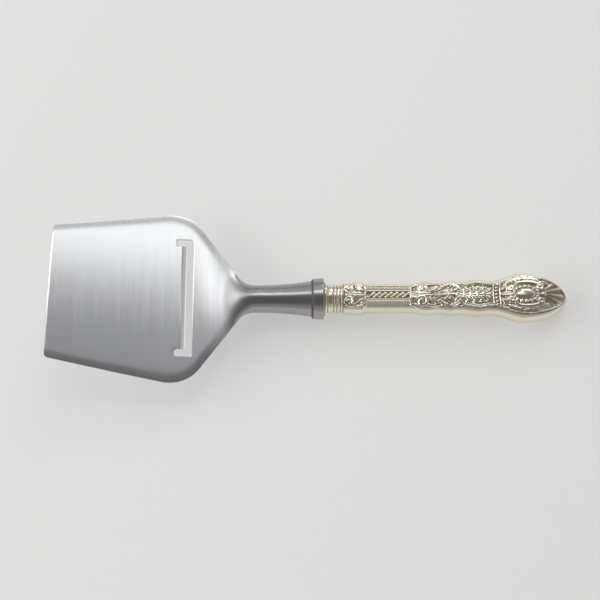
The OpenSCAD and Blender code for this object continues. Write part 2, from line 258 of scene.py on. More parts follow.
# The flat sheet is swept up and crowned, its root is swelled out, and its lip is bent down and ground
points = points_of(blade)
x, y, level = points[:, 0], points[:, 1], points[:, 2] / (sheet_t / 2)
width = half_width(np.clip(x, front_x, root_x))
edge_slope = np.gradient(widths, stations)
to_root = smooth((x - swell_x) / (root_x - swell_x))
sweep_x = root_x + sweep_r * sin(pitch)
middle = sweep_r * cos(pitch) - np.sqrt(sweep_r**2 - (sweep_x - x)**2)
middle = middle * smooth((root_x - x) / root_blend) - y**2 / (2 * crown_r) * (1 - to_root)
ridge = np.maximum(1 - (y / width)**2, 0)**(ridge_power - ridge_ease * to_root)
swell = neck_r * to_root * ridge
arch_t = sheet_t / 2 + arch * np.maximum(x - slot_x, 0)**2 * ridge
half_t = np.hypot(arch_t * (1 - to_root), swell)
from_rim = (width - np.abs(y)) / np.hypot(1, np.interp(x, stations, edge_slope))
roll = np.maximum(1 - from_rim / roll_w, 0)**2 * roll_drop * (1 - to_root)
points[:, 2] = middle + level * half_t - roll * (level > 0) * level
on_lip = (np.abs(y) < tongue_y + near) & (x > bend_x - near) & (x < edge_x + near)
drop = (x - bend_x) * tan(lip_drop)
ground = np.clip((x - edge_x + grind_l) / grind_l, 0, 1) * (sheet_t - grind_left) * (level + 1) / 2
points[:, 2] -= np.where(on_lip, drop + ground, 0)
move_points(blade, points)
bpy.ops.object.select_all(action="DESELECT")
blade.select_set(True)
bpy.ops.object.shade_smooth_by_angle(angle=radians(18))


class Field:
    """A value over a surface, held by a socket of a finish's nodes, on which sums are written."""

    def __init__(self, socket):
        self.socket = socket
        self.tree = socket.id_data

    def node(self, kind, settings, values, output=0):
        made = self.tree.nodes.new(kind)
        for setting, value in settings.items():
            setattr(made, setting, value)
        for key, value in values.items():
            if isinstance(value, Field):
                self.tree.links.new(value.socket, made.inputs[key])
            else:
                made.inputs[key].default_value = value
        return Field(made.outputs[output])

    def math(self, operation, *values):
        return self.node("ShaderNodeMath", {"operation": operation}, dict(enumerate(values)))

    def __add__(self, other):
        return self.math("ADD", self, other)

    def __sub__(self, other):
        return self.math("SUBTRACT", self, other)

    def __rsub__(self, other):
        return self.math("SUBTRACT", other, self)

    def __mul__(self, other):
        return self.math("MULTIPLY", self, other)

    __radd__, __rmul__ = __add__, __mul__

    def step(self, low, high):
        """0 below low and 1 above high, smooth between."""
        values = {"Value": self, "From Min": low, "From Max": high}
        return self.node("ShaderNodeMapRange", {"interpolation_type": "SMOOTHSTEP"}, values)

    def grain(self, scales, detail=2.0):
        """Noise with its own fineness, in grains a metre, along each axis."""
        place = self.node("ShaderNodeVectorMath", {"operation": "MULTIPLY"}, {0: self, 1: scales})
        return self.node("ShaderNodeTexNoise", {}, {"Vector": place, "Scale": 1.0, "Detail": detail})

    def colour(self, low, high):
        """From one colour to another as the value goes from 0 to 1."""
        return self.node("ShaderNodeMix", {"data_type": "RGBA"}, {0: self, 6: low, 7: high}, 2)

    def bump(self, height):
        return self.node("ShaderNodeBump", {}, {"Height": self, "Distance": height, "Strength": 1.0})

    def into(self, shader, name):
        self.tree.links.new(self.socket, shader.inputs[name])


def new_finish(name, metallic):
    """A finish with its shader, and the place on the piece from which its patterns are worked out."""
    finish = bpy.data.materials.new(name)
    finish.use_nodes = True
    shader = finish.node_tree.nodes["Principled BSDF"]
    shader.inputs["Metallic"].default_value = metallic
    place = finish.node_tree.nodes.new("ShaderNodeTexCoord")
    return finish, shader, Field(place.outputs["Object"])


steel_pale = (0.73, 0.74, 0.75, 1)
steel_grey = (0.65, 0.66, 0.67, 1)
polished_pale = (0.47, 0.455, 0.445, 1)
polished_grey = (0.39, 0.378, 0.37, 1)
satin_rough, polished_rough, shoulder_rough = 0.17, 0.25, 0.18
brush_depth = 0.000002

# Brushed across the plate, duller on the shoulders, and polished where the root runs into the neck
brushed, shader, place = new_finish("brushed_steel", 1.0)
lines = place.grain((5200, 45, 45), 3.0)
streaks = place.grain((900, 22, 22)).step(0.25, 0.75)
clouds = place.grain((60, 60, 60))
along = place.node("ShaderNodeSeparateXYZ", {}, {0: place})
root_at, slot_at = mouth.x + root_x, mouth.x + slot_x
polished = along.step(root_at - 0.015, root_at - 0.002)
fan = along.step(slot_at + 0.005, slot_at + 0.016)
brushing = 0.7 * lines + 0.3 * streaks
satin = brushing.colour(steel_grey, steel_pale)
steel = (0.6 * streaks + 0.4 * clouds).colour(polished_grey, polished_pale)
polished.colour(satin, steel).into(shader, "Base Color")
satin_roughness = satin_rough + 0.06 * lines + 0.008 * streaks + shoulder_rough * fan
polished_roughness = polished_rough + 0.02 * streaks
(satin_roughness * (1 - polished) + polished_roughness * polished).into(shader, "Roughness")
(brushing * (1 - polished)).bump(brush_depth).into(shader, "Normal")
lay_down(blade, "blade", brushed)

# Neck
# A steel neck, turned to a flaring taper and brazed over the root of the blade, then polished down so
# that no line shows between them.
neck_rear_r = 0.0076
bore_r = 0.004
collar_x = -collar_l
# Colour and reach of the painted shade line where the neck meets the collar
joint_shade_dark = (0.14, 0.13, 0.125, 1)
joint_x = collar_x + 0.0001
joint_core, joint_fade = 0.0002, 0.0006
turning_depth = 0.0000015
weld_gap = 1e-6


def turned(name, profile, sides=128):
    """A lathe-turned piece round the handle's axis, from the places and radii along its closed profile."""
    bpy.ops.object.select_all(action="DESELECT")
    (first_x, first_r), *rest = profile
    bpy.ops.mesh.primitive_circle_add(
        vertices=sides, radius=first_r, location=(first_x, 0, 0), rotation=(0, pi / 2, 0))
    piece = bpy.context.object
    piece.name = piece.data.name = name
    bpy.ops.object.transform_apply(location=True, rotation=True, scale=True)
    bpy.ops.object.mode_set(mode="EDIT")
    bpy.ops.mesh.select_mode(type="VERT")
    bpy.ops.mesh.select_all(action="SELECT")
    last_x, last_r = first_x, first_r
    for x, r in rest + [profile[0]]:
        bpy.ops.mesh.extrude_region_move(TRANSFORM_OT_translate={"value": (x - last_x, 0, 0)})
        bpy.ops.transform.resize(value=(1, r / last_r, r / last_r), center_override=(x, 0, 0))
        last_x, last_r = x, r
    bpy.ops.mesh.select_all(action="SELECT")
    bpy.ops.mesh.remove_doubles(threshold=weld_gap)
    bpy.ops.mesh.normals_make_consistent(inside=False)
    bpy.ops.object.mode_set(mode="OBJECT")
    bpy.ops.object.shade_smooth_by_angle(angle=radians(35))
    return piece


def arc(centre, radius, start, end, steps):
    """Points round an arc of a profile, its angles in degrees."""
    angles = np.radians(np.linspace(start, end, steps))
    return [(centre[0] + radius * cos(a), centre[1] + radius * sin(a)) for a in angles]


flare = neck_rear_r - neck_r
flare_r = (neck_l**2 + flare**2) / (2 * flare)
flare_end = -90 + np.degrees(np.arcsin(neck_l / flare_r))
neck_curve = arc((root_x, neck_r + flare_r), flare_r, -90, flare_end, 25)
neck = turned("steel_neck", [(root_x, bore_r)] + neck_curve + [(collar_x, bore_r)])

bolster, shader, place = new_finish("polished_steel", 1.0)
turning = place.grain((1800, 60, 60))
clouds = place.grain((90, 220, 220))
right = place.node("ShaderNodeSeparateXYZ", {}, {0: place}) - mouth.x
up = place.node("ShaderNodeSeparateXYZ", {}, {0: place}, 2) - mouth.z
along = right * cos(tilt) - up * sin(tilt)
# Painted shade: a dark line painted round the steel where the neck meets the collar
painted_joint_shade = 1 - along.math("ABSOLUTE", along - joint_x).step(joint_core, joint_fade)
polish = (0.6 * turning + 0.4 * clouds).colour(polished_grey, polished_pale)
painted_joint_shade.colour(polish, joint_shade_dark).into(shader, "Base Color")
(0.22 + 0.08 * turning + 0.3 * painted_joint_shade).into(shader, "Roughness")
turning.bump(turning_depth).into(shader, "Normal")
lay_down(neck, "neck", bolster)

# Collar
# A steel bolster ring between the neck and the handle, turned with a slight flare and softened edges. A
# fine line of painted shade darkens the steel where it meets the neck, and a groove shows where it meets
# the silver.
collar_front_r = 0.00845
collar_rear_r = 0.00888
collar_edge = 0.0005
collar_bore = 0.00325
collar_flare = np.degrees(atan2(collar_rear_r - collar_front_r, collar_l - 2 * collar_edge))
collar = turned(
    "bolster_collar",
    [(collar_x, collar_bore)]
    + arc((collar_x + collar_edge, collar_front_r - collar_edge), collar_edge, 180, 90 + collar_flare, 9)
    + arc((-collar_edge, collar_rear_r - collar_edge), collar_edge, 90 + collar_flare, 0, 9)
    + [(0, collar_bore)])
lay_down(collar, "collar", bolster)

# Tang
# A stepped steel rod that holds blade and handle together: fixed in the neck, through the collar, and
# set in the cement. It is rough-turned and out of sight.
rough_dark = (0.24, 0.24, 0.25, 1)
rough_pale = (0.36, 0.36, 0.37, 1)
rough_steel, shader, place = new_finish("rough_steel", 1.0)
turning = place.grain((2500, 90, 90))
turning.colour(rough_dark, rough_pale).into(shader, "Base Color")
(0.4 + 0.2 * turning).into(shader, "Roughness")
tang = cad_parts["tang"]
tang.data.materials.clear()
tang.data.materials.append(rough_steel)

# Cement core
# The filler that is poured hot into the hollow handle and sets round the tang. It is a dull mix of pitch
# and stone dust, and out of sight.
pitch_brown = (0.30, 0.25, 0.18, 1)
dust_grey = (0.46, 0.40, 0.31, 1)
grit_depth = 0.00005
filler, shader, place = new_finish("set_filler", 0.0)
grit = place.grain((1500, 1500, 1500), 4.0)
grit.colour(pitch_brown, dust_grey).into(shader, "Base Color")
(0.75 + 0.2 * grit).into(shader, "Roughness")
grit.bump(grit_depth).into(shader, "Normal")
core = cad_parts["cement_core"]
core.data.materials.clear()
core.data.materials.append(filler)

# Handle halves
# Two shells of sheet silver, struck in a die with ornament on their faces and left plain on their sides,
# soldered together along their edges. Polishing leaves dark tarnish in the hollows of the relief, and the
# throat and the end are darkened further with painted shade.
ferrule_l = 0.0082
mouth_r = 0.0049
wall = 0.0012
fullness = 2.5

# Swells and waists of the handle: the place along it, the width and the thickness
stops = np.array([
    [0.0082, 0.0137, 0.0116], [0.0158, 0.0144, 0.012], [0.018, 0.0126, 0.0106], [0.036, 0.0126, 0.0106],
    [0.0436, 0.015, 0.012], [0.0484, 0.0138, 0.0112], [0.0536, 0.015, 0.0118], [0.0578, 0.0144, 0.0116],
    [0.0652, 0.0162, 0.0124], [0.0708, 0.0152, 0.0118], [0.0843, 0.0216, 0.0136]])
head_x = stops[-1, 0]
tip_l = handle_l - head_x
relief_depth = 0.0008
side_inset = 0.0002
row_step = 0.0002
tip_rows = 80
face_columns = 161
inner_columns = 13
mouth_rows = 3


def body_size(x):
    """Half the width and half the thickness of the handle between its swells and waists."""
    k = np.clip(np.searchsorted(stops[:, 0], x, side="right") - 1, 0, len(stops) - 2)
    share = smooth((x - stops[k, 0]) / (stops[k + 1, 0] - stops[k, 0]))[:, None]
    return ((stops[k] + (stops[k + 1] - stops[k]) * share) / 2)[:, 1:].T


body_x = spaced(np.array([ferrule_l, head_x]), row_step)
first_tip_row = len(body_x) + 2
tip_turn = np.linspace(0, pi / 2, tip_rows)[1:]
row_x = np.concatenate([[0, ferrule_l], body_x, head_x + tip_l * np.sin(tip_turn)])
half_w, half_h = body_size(body_x)
row_w = np.concatenate([[mouth_r, mouth_r], half_w, stops[-1, 1] / 2 * np.cos(tip_turn)])
row_h = np.concatenate([[mouth_r, mouth_r], half_h, stops[-1, 2] / 2 * np.cos(tip_turn)])
row_n = np.concatenate([[2, 2], np.full(len(row_x) - 2, fullness)])


def half_section(width, height, power, columns):
    """Points at even distances round the upper half of a section, from one seam to the other."""
    turn = np.linspace(0, pi, 721)
    y = -width * np.sign(np.cos(turn)) * np.abs(np.cos(turn))**(2 / power)
    z = seam_t / 2 + (height - seam_t / 2) * np.abs(np.sin(turn))**(2 / power)
    run = np.concatenate([[0], np.cumsum(np.hypot(np.diff(y), np.diff(z)))])
    even = np.linspace(0, run[-1], columns) if run[-1] > 0 else np.zeros(columns)
    return np.column_stack([np.interp(even, run, y), np.interp(even, run, z)])


skin = np.empty((len(row_x), face_columns, 3))
skin[:, :, 0] = row_x[:, None]
for i in range(len(row_x)):
    skin[i, :, 1:] = half_section(max(row_w[i], 1e-9), max(row_h[i], seam_t / 2), row_n[i], face_columns)
lining = np.empty((len(row_x), inner_columns, 3))
lining_x = np.where(row_x < ferrule_l + 1e-9, row_x, np.maximum(row_x, ferrule_l + wall))
lining_x[1] = ferrule_l + wall / 2
lining_x[first_tip_row:] = head_x + (tip_l - wall) * np.sin(tip_turn)
lining[:, :, 0] = lining_x[:, None]
inset = wall * np.concatenate([np.ones(first_tip_row), np.cos(tip_turn)])
for i in range(len(row_x)):
    inner_w = max(row_w[i] - inset[i], 1e-9)
    inner_h = max(row_h[i] - inset[i], seam_t / 2)
    lining[i, :, 1:] = half_section(inner_w, inner_h, row_n[i], inner_columns)

# The die's ornament is drawn in millimetres on the face seen from above, as heights over its sunk ground.
# The face ends at an edge, given as a share of half the width, past which the sides are plain.
to_mm = 1000
edge_marks = np.array([
    [8.2, 0.68], [17, 0.68], [18, 0.66], [36, 0.66], [43.6, 0.68], [48.4, 0.67], [53.6, 0.7], [57.8, 0.66],
    [65.2, 0.745], [70.8, 0.68], [77, 0.74], [84.3, 0.79], [92, 0.79], [98, 0.76], [103.2, 0.7]])
face_x = skin[:, :, 0].ravel() * to_mm
face_y = skin[:, :, 1].ravel() * to_mm
fold_y = np.abs(face_y)
past_edge = fold_y - np.repeat(np.interp(row_x * to_mm, *edge_marks.T) * row_w * to_mm, face_columns)
full = relief_depth * to_mm
plain = (relief_depth - side_inset) * to_mm
relief = np.zeros(len(face_x))


def curve(points, steps=10):
    """A smooth line through given points."""
    p = np.array(points, float)
    p = np.vstack([2 * p[0] - p[1], p, 2 * p[-1] - p[-2]])
    t = np.linspace(0, 1, steps, endpoint=False)[:, None]
    runs = [
        0.5 * (2 * b + (c - a) * t + (2 * a - 5 * b + 4 * c - d) * t**2 + (3 * b - a - 3 * c + d) * t**3)
        for a, b, c, d in zip(p, p[1:], p[2:], p[3:])]
    return np.vstack(runs + [p[-2:-1]])


def spiral(centre, start_r, end_r, start, turns, steps=40):
    """A scroll from one radius to another, from a start in degrees."""
    a = np.radians(start) + np.linspace(0, 2 * pi * turns, steps)
    r = start_r * (end_r / start_r)**np.linspace(0, 1, steps)
    return np.column_stack([centre[0] + r * np.cos(a), centre[1] + r * np.sin(a)])


def beside(line, reach, y):
    """The face's points within reach of a line, with their distance from it and their place along it."""
    line = np.asarray(line, float)
    low, high = line.min(0) - reach, line.max(0) + reach
    near_by = np.flatnonzero((face_x > low[0]) & (face_x < high[0]) & (y > low[1]) & (y < high[1]))
    px, py = face_x[near_by], y[near_by]
    best = np.full(len(near_by), 1e9)
    place_on = np.zeros(len(near_by))
    lengths = np.hypot(*np.diff(line, axis=0).T)
    starts = np.concatenate([[0], np.cumsum(lengths)])
    for a, b, start, length in zip(line, line[1:], starts, lengths):
        d = (b - a) / max(length, 1e-9)
        t = np.clip((px - a[0]) * d[0] + (py - a[1]) * d[1], 0, length)
        distance = np.hypot(px - a[0] - t * d[0], py - a[1] - t * d[1])
        closer = distance < best
        best[closer] = distance[closer]
        place_on[closer] = (start + t[closer]) / starts[-1]
    return near_by, best, place_on, starts[-1]


def dome(off):
    """The rounded section of a moulding: 1 at its middle and 0 at its edge."""
    return np.sqrt(np.maximum(1 - np.abs(off)**3, 0))


def raise_to(where, height):
    """Lifts the relief to a height where it is lower."""
    relief[where] = np.maximum(relief[where], height)


def stroke(line, width, height=full, y=None):
    """A rounded moulding along a line; its half width may taper from start to end."""
    start_w, end_w = width if isinstance(width, tuple) else (width, width)
    where, off, on, _ = beside(line, max(start_w, end_w), fold_y if y is None else y)
    raise_to(where, height * dome(off / (start_w + (end_w - start_w) * on)))


def leaf(line, width, lobes, height=full, y=None):
    """A lobed leaf along its midrib, domed, with a grooved rib and a groove between its lobes."""
    where, off, on, length = beside(line, width * 1.15, fold_y if y is None else y)
    notch = np.mod(on * lobes, 1)
    w = width * np.sin(pi * np.clip(on, 0.03, 1)**0.8)**0.6 * (1.12 - 0.5 * notch**3) + 1e-6
    share = off / w
    vein = np.abs(np.mod(on * lobes - share * 0.7 + 0.5, 1) - 0.5) / lobes * length
    groove = 0.4 * np.exp(-(off / 0.16)**2) + 0.4 * np.exp(-(vein / 0.2)**2) * smooth((share - 0.2) / 0.4)
    raise_to(where, height * (0.3 + 0.7 * dome(share) - groove) * (share < 1))


def bead(x, y, radius, height=full):
    raise_to(slice(None), height * dome(np.hypot(face_x - x, fold_y - y) / radius))


def rosette(x, radius, petals, height=full):
    off = np.hypot(face_x - x, face_y)
    lobe = np.abs(np.cos(np.arctan2(face_y, face_x - x) * petals / 2))
    edge = radius * (0.7 + 0.3 * lobe**0.5)
    raise_to(slice(None), height * dome(off / edge) * (0.2 + 0.8 * lobe**0.6))
    bead(x, 0, radius * 0.3)


# Plain sides, and on the upper grip and the head a pair of mouldings along the edge of the face
raise_to(slice(None), smooth((past_edge + 0.1) / 0.3) * plain)
on_grip = smooth((face_x - 57) / 2.5)
raise_to(slice(None), on_grip * full * dome((past_edge + 0.5) / 0.44))
raise_to(slice(None), on_grip * full * 0.85 * dome((past_edge + 1.3) / 0.26))

# Pearled ground: small domes close together, low enough for the ornament to stand over them
pearl_pitch, pearl_height = 1.12, 0.42
pearl_line = pearl_pitch * 0.866
pearl_row = np.rint(face_x / pearl_line)
pearl_y = np.mod(face_y / pearl_pitch + 0.5 * np.mod(pearl_row, 2) + 0.5, 1) - 0.5
pearl_off = np.hypot(face_x - pearl_row * pearl_line, pearl_y * pearl_pitch) / (pearl_pitch / 2)
raise_to(slice(None), full * pearl_height * dome(pearl_off) * (past_edge < -0.3) * (face_x > 8.6))

# Clasp behind the ferrule: round eyes in scrolls, with leaves between them and behind
bead(10.3, 2.75, 1.1)
stroke(np.vstack([
    spiral((10.3, 2.75), 1.6, 1.85, -150, 0.95),
    curve([(9.4, 4.6), (12.0, 4.7), (14.2, 3.6), (15.6, 2.3), (16.9, 2.0)])[4:]]), (0.46, 0.75))
leaf(curve([(17.1, 0), (13.2, 0), (8.9, 0)]), 1.5, 4)
leaf(curve([(12.6, 4.9), (15.0, 4.5), (17.3, 3.4)]), 1.05, 3)
stroke([(17.5, 0), (17.5, 4.6)], 0.45)

# Long panel: a running ribbon in a sunk channel between mouldings, and a corded border at each side
in_panel = (face_x > 17.8) & (face_x < 36.3)
relief[in_panel & (fold_y < 1.75)] = 0
for k in range(7):
    x0 = 18.5 + k * 2.45
    ribbon = curve([(x0, -0.7), (x0 + 0.7, -0.6), (x0 + 1.9, 0.6), (x0 + 2.7, 0.7)])
    stroke(ribbon, (0.5, 0.75), full * 0.95, face_y)
for frame_y, frame_w in ((1.75, 0.36), (2.66, 0.28)):
    stroke([(18.2, frame_y), (36.0, frame_y)], frame_w)
raise_to(slice(None), full * 0.62 * in_panel * (fold_y > 1.75) * (fold_y < 2.66))
cord_y, cord_w, cord_pitch = 3.5, 0.64, 1.25
strand = np.abs(np.cos(pi * (face_x - (fold_y - cord_y) * 1.2) / cord_pitch))**0.7
raise_to(slice(None), full * in_panel * dome((fold_y - cord_y) / cord_w) * (0.25 + 0.75 * strand))
stroke([(36.5, 0), (36.5, 4.4)], 0.45)

# Middle knop: broad scrolls that curl outwards round a leaf, with smaller leaves at their backs
stroke(np.vstack([
    curve([(37.2, 1.0), (38.2, 1.1), (39.3, 1.4)])[:-1],
    spiral((41.3, 3.1), 2.6, 1.0, 220, 1.1)]), (0.55, 0.85))
bead(41.3, 3.1, 0.85)
leaf(curve([(37.1, 0), (41.6, 0), (46.2, 0)]), 1.6, 4)
leaf(curve([(43.8, 1.7), (45.8, 2.4), (48.4, 4.3)]), 1.2, 3)
leaf(curve([(37.2, 4.0), (38.6, 4.7), (40.4, 5.6)]), 0.95, 2)
stroke(curve([(43.7, 4.7), (45.8, 4.9), (47.6, 5.0)]), (0.75, 0.5))

# Knot: a full rosette between leaves that follow its swell
rosette(52.5, 3.3, 6)
leaf(curve([(46.4, 0), (47.8, 0), (49.6, 0)]), 1.1, 2)
leaf(curve([(48.4, 2.4), (50.0, 4.0), (53.0, 5.0)]), 1.0, 3)
leaf(curve([(53.2, 5.0), (55.6, 4.3), (57.8, 2.6)]), 1.1, 3)
bead(55.6, 2.3, 0.75)

# Upper grip: a laurel garland, its leaves in pairs with a berry between their tips
stroke([(55.8, 0), (70.4, 0)], 0.4, full * 0.8, face_y)
for k, reach in enumerate((2.8, 3.4, 3.9, 3.8, 3.2)):
    x0 = 55.7 + k * 2.85
    leaf(curve([(x0, 0.5), (x0 + 1.5, reach * 0.45), (x0 + 3.6, reach)]), 0.95, 2)
    leaf(curve([(x0 + 1.4, 0.3), (x0 + 2.9, 0.8), (x0 + 4.3, 1.1)]), 0.6, 1, full * 0.85)
    bead(x0 + 1.4, reach * 0.75 + 0.6, 0.6)

# Throat: a row of pearls between two bands
for k in range(4):
    bead(72.6 + 0.06 * k * k, 1.55 * k, 0.72)
stroke(curve([(71.3, 0), (71.4, 2.4), (71.7, 4.8)]), 0.28)
stroke(curve([(74.0, 0), (74.1, 2.4), (74.5, 5.6)]), 0.3)

# Head: a domed oval in a ring of pearls, held by scrolls and leaves, and a deeply fluted shell at the end
oval_x, oval_l, oval_w = 85.0, 4.3, 2.4
raise_to(slice(None), full * 0.97 * dome(np.hypot((face_x - oval_x) / oval_l, face_y / oval_w)))
for k in range(9):
    a = pi * k / 8
    bead(oval_x + (oval_l + 0.95) * cos(a), (oval_w + 0.95) * sin(a), 0.7)
stroke(np.vstack([
    spiral((78.6, 2.9), 0.6, 1.6, 250, -1.2)[:-1],
    curve([(80.1, 3.4), (81.6, 4.9), (84.6, 5.5), (88.0, 5.3), (90.2, 4.7)])]), (0.55, 1.0))
stroke(spiral((91.0, 3.2), 1.55, 0.6, 105, -1.15), (0.9, 0.55))
leaf(curve([(74.6, 0), (77.0, 0), (79.6, 0)]), 1.6, 3)
leaf(curve([(75.0, 2.0), (76.2, 3.7), (76.9, 5.2)]), 1.05, 2)
leaf(curve([(76.9, 5.0), (80.0, 6.4), (84.0, 7.2)]), 1.25, 4)
leaf(curve([(84.2, 7.2), (87.8, 7.2), (91.4, 6.1)]), 1.2, 4)
leaf(curve([(91.0, 5.6), (93.2, 5.0), (95.8, 4.5)]), 1.1, 3)
shell_x, shell_r, flutes, fan_half = 90.6, 10.9, 19, radians(42)
valley, flute_power = 0.08, 3.4


def shell_edge(turn):
    """How far the shell reaches, furthest along the axis."""
    return shell_r * (1 - 0.35 * (turn / fan_half)**2)


from_shell = np.hypot(face_x - shell_x, face_y)
shell_turn = np.arctan2(face_y, face_x - shell_x)
flute = np.abs(np.cos(shell_turn * flutes / 2))
in_fan = (np.abs(shell_turn) < fan_half) * smooth((from_shell - 2.0) / 0.8)
in_fan = in_fan * (from_shell < shell_edge(shell_turn))
raise_to(slice(None), full * in_fan * (valley + (1 - valley) * flute**flute_power))
for a in np.radians([0, 360 / flutes, 720 / flutes]):
    r = shell_edge(a) - 0.3
    bead(shell_x + r * cos(a), r * sin(a), 0.8)
bead(92.6, 0, 1.2)

# The sunk ground is matted with a fine punch, and the whole relief is a little softened by polishing
matting = np.sin(face_x * 9.3 + 1.7 * np.sin(face_y * 5.1))
matting *= np.sin(face_y * 8.7 + 1.3 * np.sin(face_x * 4.3))
relief = np.maximum(relief, 0.04 * (1 + matting)).reshape(len(row_x), face_columns)


def softened(field, times):
    """The field after so many passes of a small blur."""
    for _ in range(times):
        padded = np.pad(field, 1, mode="edge")
        field = (padded[:-2, 1:-1] + 2 * padded[1:-1, 1:-1] + padded[2:, 1:-1]) / 4
        padded = np.pad(field, 1, mode="edge")
        field = (padded[1:-1, :-2] + 2 * padded[1:-1, 1:-1] + padded[1:-1, 2:]) / 4
    return field


relief = softened(relief, 1)

# Tarnish stays in the hollows, and painted shade darkens the throat and the end further
throat_x, throat_half = 73.0, 4.0
end_x, end_fade = 88.0, 6.0
hollow = 1.5 * np.clip((softened(relief, 36) - relief) / full, 0, 1) + 0.62 * (1 - relief / full)**1.3
# Painted shade: the throat and the end are made darker than the rest of the handle
painted_shade_throat_end = 0.3 * dome((row_x * to_mm - throat_x) / throat_half)
painted_shade_throat_end += 0.35 * smooth((row_x * to_mm - end_x) / end_fade)
hollow += painted_shade_throat_end[:, None]
hollow = np.clip(hollow, 0, 1) * (1 - smooth((past_edge.reshape(hollow.shape) - 0.05) / 0.3))
relief[:mouth_rows] = plain
hollow[:mouth_rows] = 0

# The skin is pressed in where the relief is low, square to its own surface
ahead = np.gradient(skin, axis=0)
ahead[:mouth_rows] = ahead[mouth_rows]
round_way = np.gradient(skin, axis=1)
outward = np.cross(round_way, ahead)
outward /= np.maximum(np.linalg.norm(outward, axis=2, keepdims=True), 1e-12)
outward *= np.sign(outward[:, :, 2:3].mean() or 1)
sink = np.where(row_x > ferrule_l - 1e-9, 1, 0)[:, None] * (full - relief) / to_mm
sink *= smooth((handle_l - row_x) / 0.0012)[:, None]
struck = skin - outward * sink[:, :, None]
struck[:, [0, -1], 2] = seam_t / 2


def strike_half(name, node, side):
    """One struck half: its ornamented skin and smooth lining, joined along the seam and at the mouth."""
    outer, row, column = added_grid(name, len(row_x), face_columns)
    move_points(outer, struck[row, column] * (1, 1, side))
    tarnish_and_shade_layer = outer.data.attributes.new("hollow", "FLOAT", "POINT")
    tarnish_and_shade_layer.data.foreach_set("value", hollow[row, column].astype(np.float32))
    inner, row, column = added_grid(name + "_lining", len(row_x), inner_columns)
    move_points(inner, lining[row, column] * (1, 1, side))
    bpy.ops.object.select_all(action="DESELECT")
    inner.select_set(True)
    outer.select_set(True)
    bpy.context.view_layer.objects.active = outer
    bpy.ops.object.join()
    bpy.ops.object.mode_set(mode="EDIT")
    bpy.ops.mesh.select_all(action="SELECT")
    bpy.ops.mesh.remove_doubles(threshold=2 * weld_gap)
    bpy.ops.mesh.select_mode(type="EDGE")
    bpy.ops.mesh.select_all(action="DESELECT")
    bpy.ops.mesh.select_non_manifold(
        extend=False, use_wire=False, use_multi_face=False, use_non_contiguous=False)
    bpy.ops.object.mode_set(mode="OBJECT")
    vertices = outer.data.vertices
    for edge in outer.data.edges:
        a, b = (vertices[v].co.x for v in edge.vertices)
        edge.select = edge.select and max(a, b) > 1e-6
    bpy.ops.object.mode_set(mode="EDIT")
    bpy.ops.mesh.bridge_edge_loops()
    bpy.ops.mesh.select_all(action="DESELECT")
    bpy.ops.mesh.select_non_manifold(
        extend=False, use_wire=False, use_multi_face=False, use_non_contiguous=False)
    bpy.ops.mesh.edge_face_add()
    bpy.ops.mesh.select_all(action="SELECT")
    bpy.ops.mesh.normals_make_consistent(inside=False)
    bpy.ops.object.mode_set(mode="OBJECT")
    bpy.ops.object.shade_smooth_by_angle(angle=radians(60))
    lay_down(outer, node, silver)


silver_bright = (0.95, 0.89, 0.755, 1)
silver_worn = (0.88, 0.805, 0.62, 1)
tarnish_and_shade_brown = (0.26, 0.205, 0.125, 1)
scratch_depth = 0.000001
silver, shader, place = new_finish("tarnished_silver_and_painted_shade", 1.0)
hollows = place.node("ShaderNodeAttribute", {"attribute_name": "hollow"}, {}, 2)
clouds = place.grain((180, 180, 180))
scratches = place.grain((3000, 700, 700))
clean = clouds.colour(silver_worn, silver_bright)
# The tarnish in the hollows, with painted shade at the throat and the end, darkens and dulls the silver
dark = hollows.step(0.22, 0.78) * (0.75 + 0.25 * clouds)
dark.colour(clean, tarnish_and_shade_brown).into(shader, "Base Color")
(0.13 + 0.05 * scratches + 0.3 * dark).into(shader, "Roughness")
(scratches * (1 - dark)).bump(scratch_depth).into(shader, "Normal")
strike_half("handle_front", "handle_front_half", 1)
strike_half("handle_back", "handle_back_half", -1)

# Solder seam
# A thread of silver solder along both edges of the halves, filed flush after soldering, so that only a
# fine line is left on the sides and round the end of the handle.
thread_r = 0.00013
solder_dull = (0.62, 0.59, 0.5, 1)
solder_bright = (0.78, 0.75, 0.66, 1)
thread_end = handle_l - thread_r * 1.2
seam_line = np.array([
    [x, struck[i, 0, 1] + thread_r * 0.8, 0] for i, x in enumerate(row_x) if ferrule_l < x < thread_end])
seam_line = seam_line[::3]
seam_line = np.vstack([seam_line, [[thread_end, 0, 0]], seam_line[::-1] * (1, -1, 1)])
thread = bpy.data.curves.new("solder_seam", "CURVE")
thread.dimensions = "3D"
thread.bevel_depth = thread_r
thread.bevel_resolution = 2
thread.use_fill_caps = True
spline = thread.splines.new("POLY")
spline.points.add(len(seam_line) - 1)
spline.points.foreach_set("co", np.column_stack([seam_line, np.ones(len(seam_line))]).ravel())
seam = bpy.data.objects.new("seam", thread)
bpy.context.collection.objects.link(seam)
bpy.ops.object.select_all(action="DESELECT")
seam.select_set(True)
bpy.context.view_layer.objects.active = seam
bpy.ops.object.convert(target="MESH")
seam = bpy.context.object
bpy.ops.object.mode_set(mode="EDIT")
bpy.ops.mesh.select_all(action="SELECT")
bpy.ops.mesh.remove_doubles(threshold=weld_gap)
bpy.ops.mesh.normals_make_consistent(inside=False)
bpy.ops.object.mode_set(mode="OBJECT")
solder, shader, place = new_finish("filed_solder", 1.0)
filed = place.grain((600, 2500, 2500))
filed.colour(solder_dull, solder_bright).into(shader, "Base Color")
(0.25 + 0.15 * filed).into(shader, "Roughness")
lay_down(seam, "solder_seam", solder)

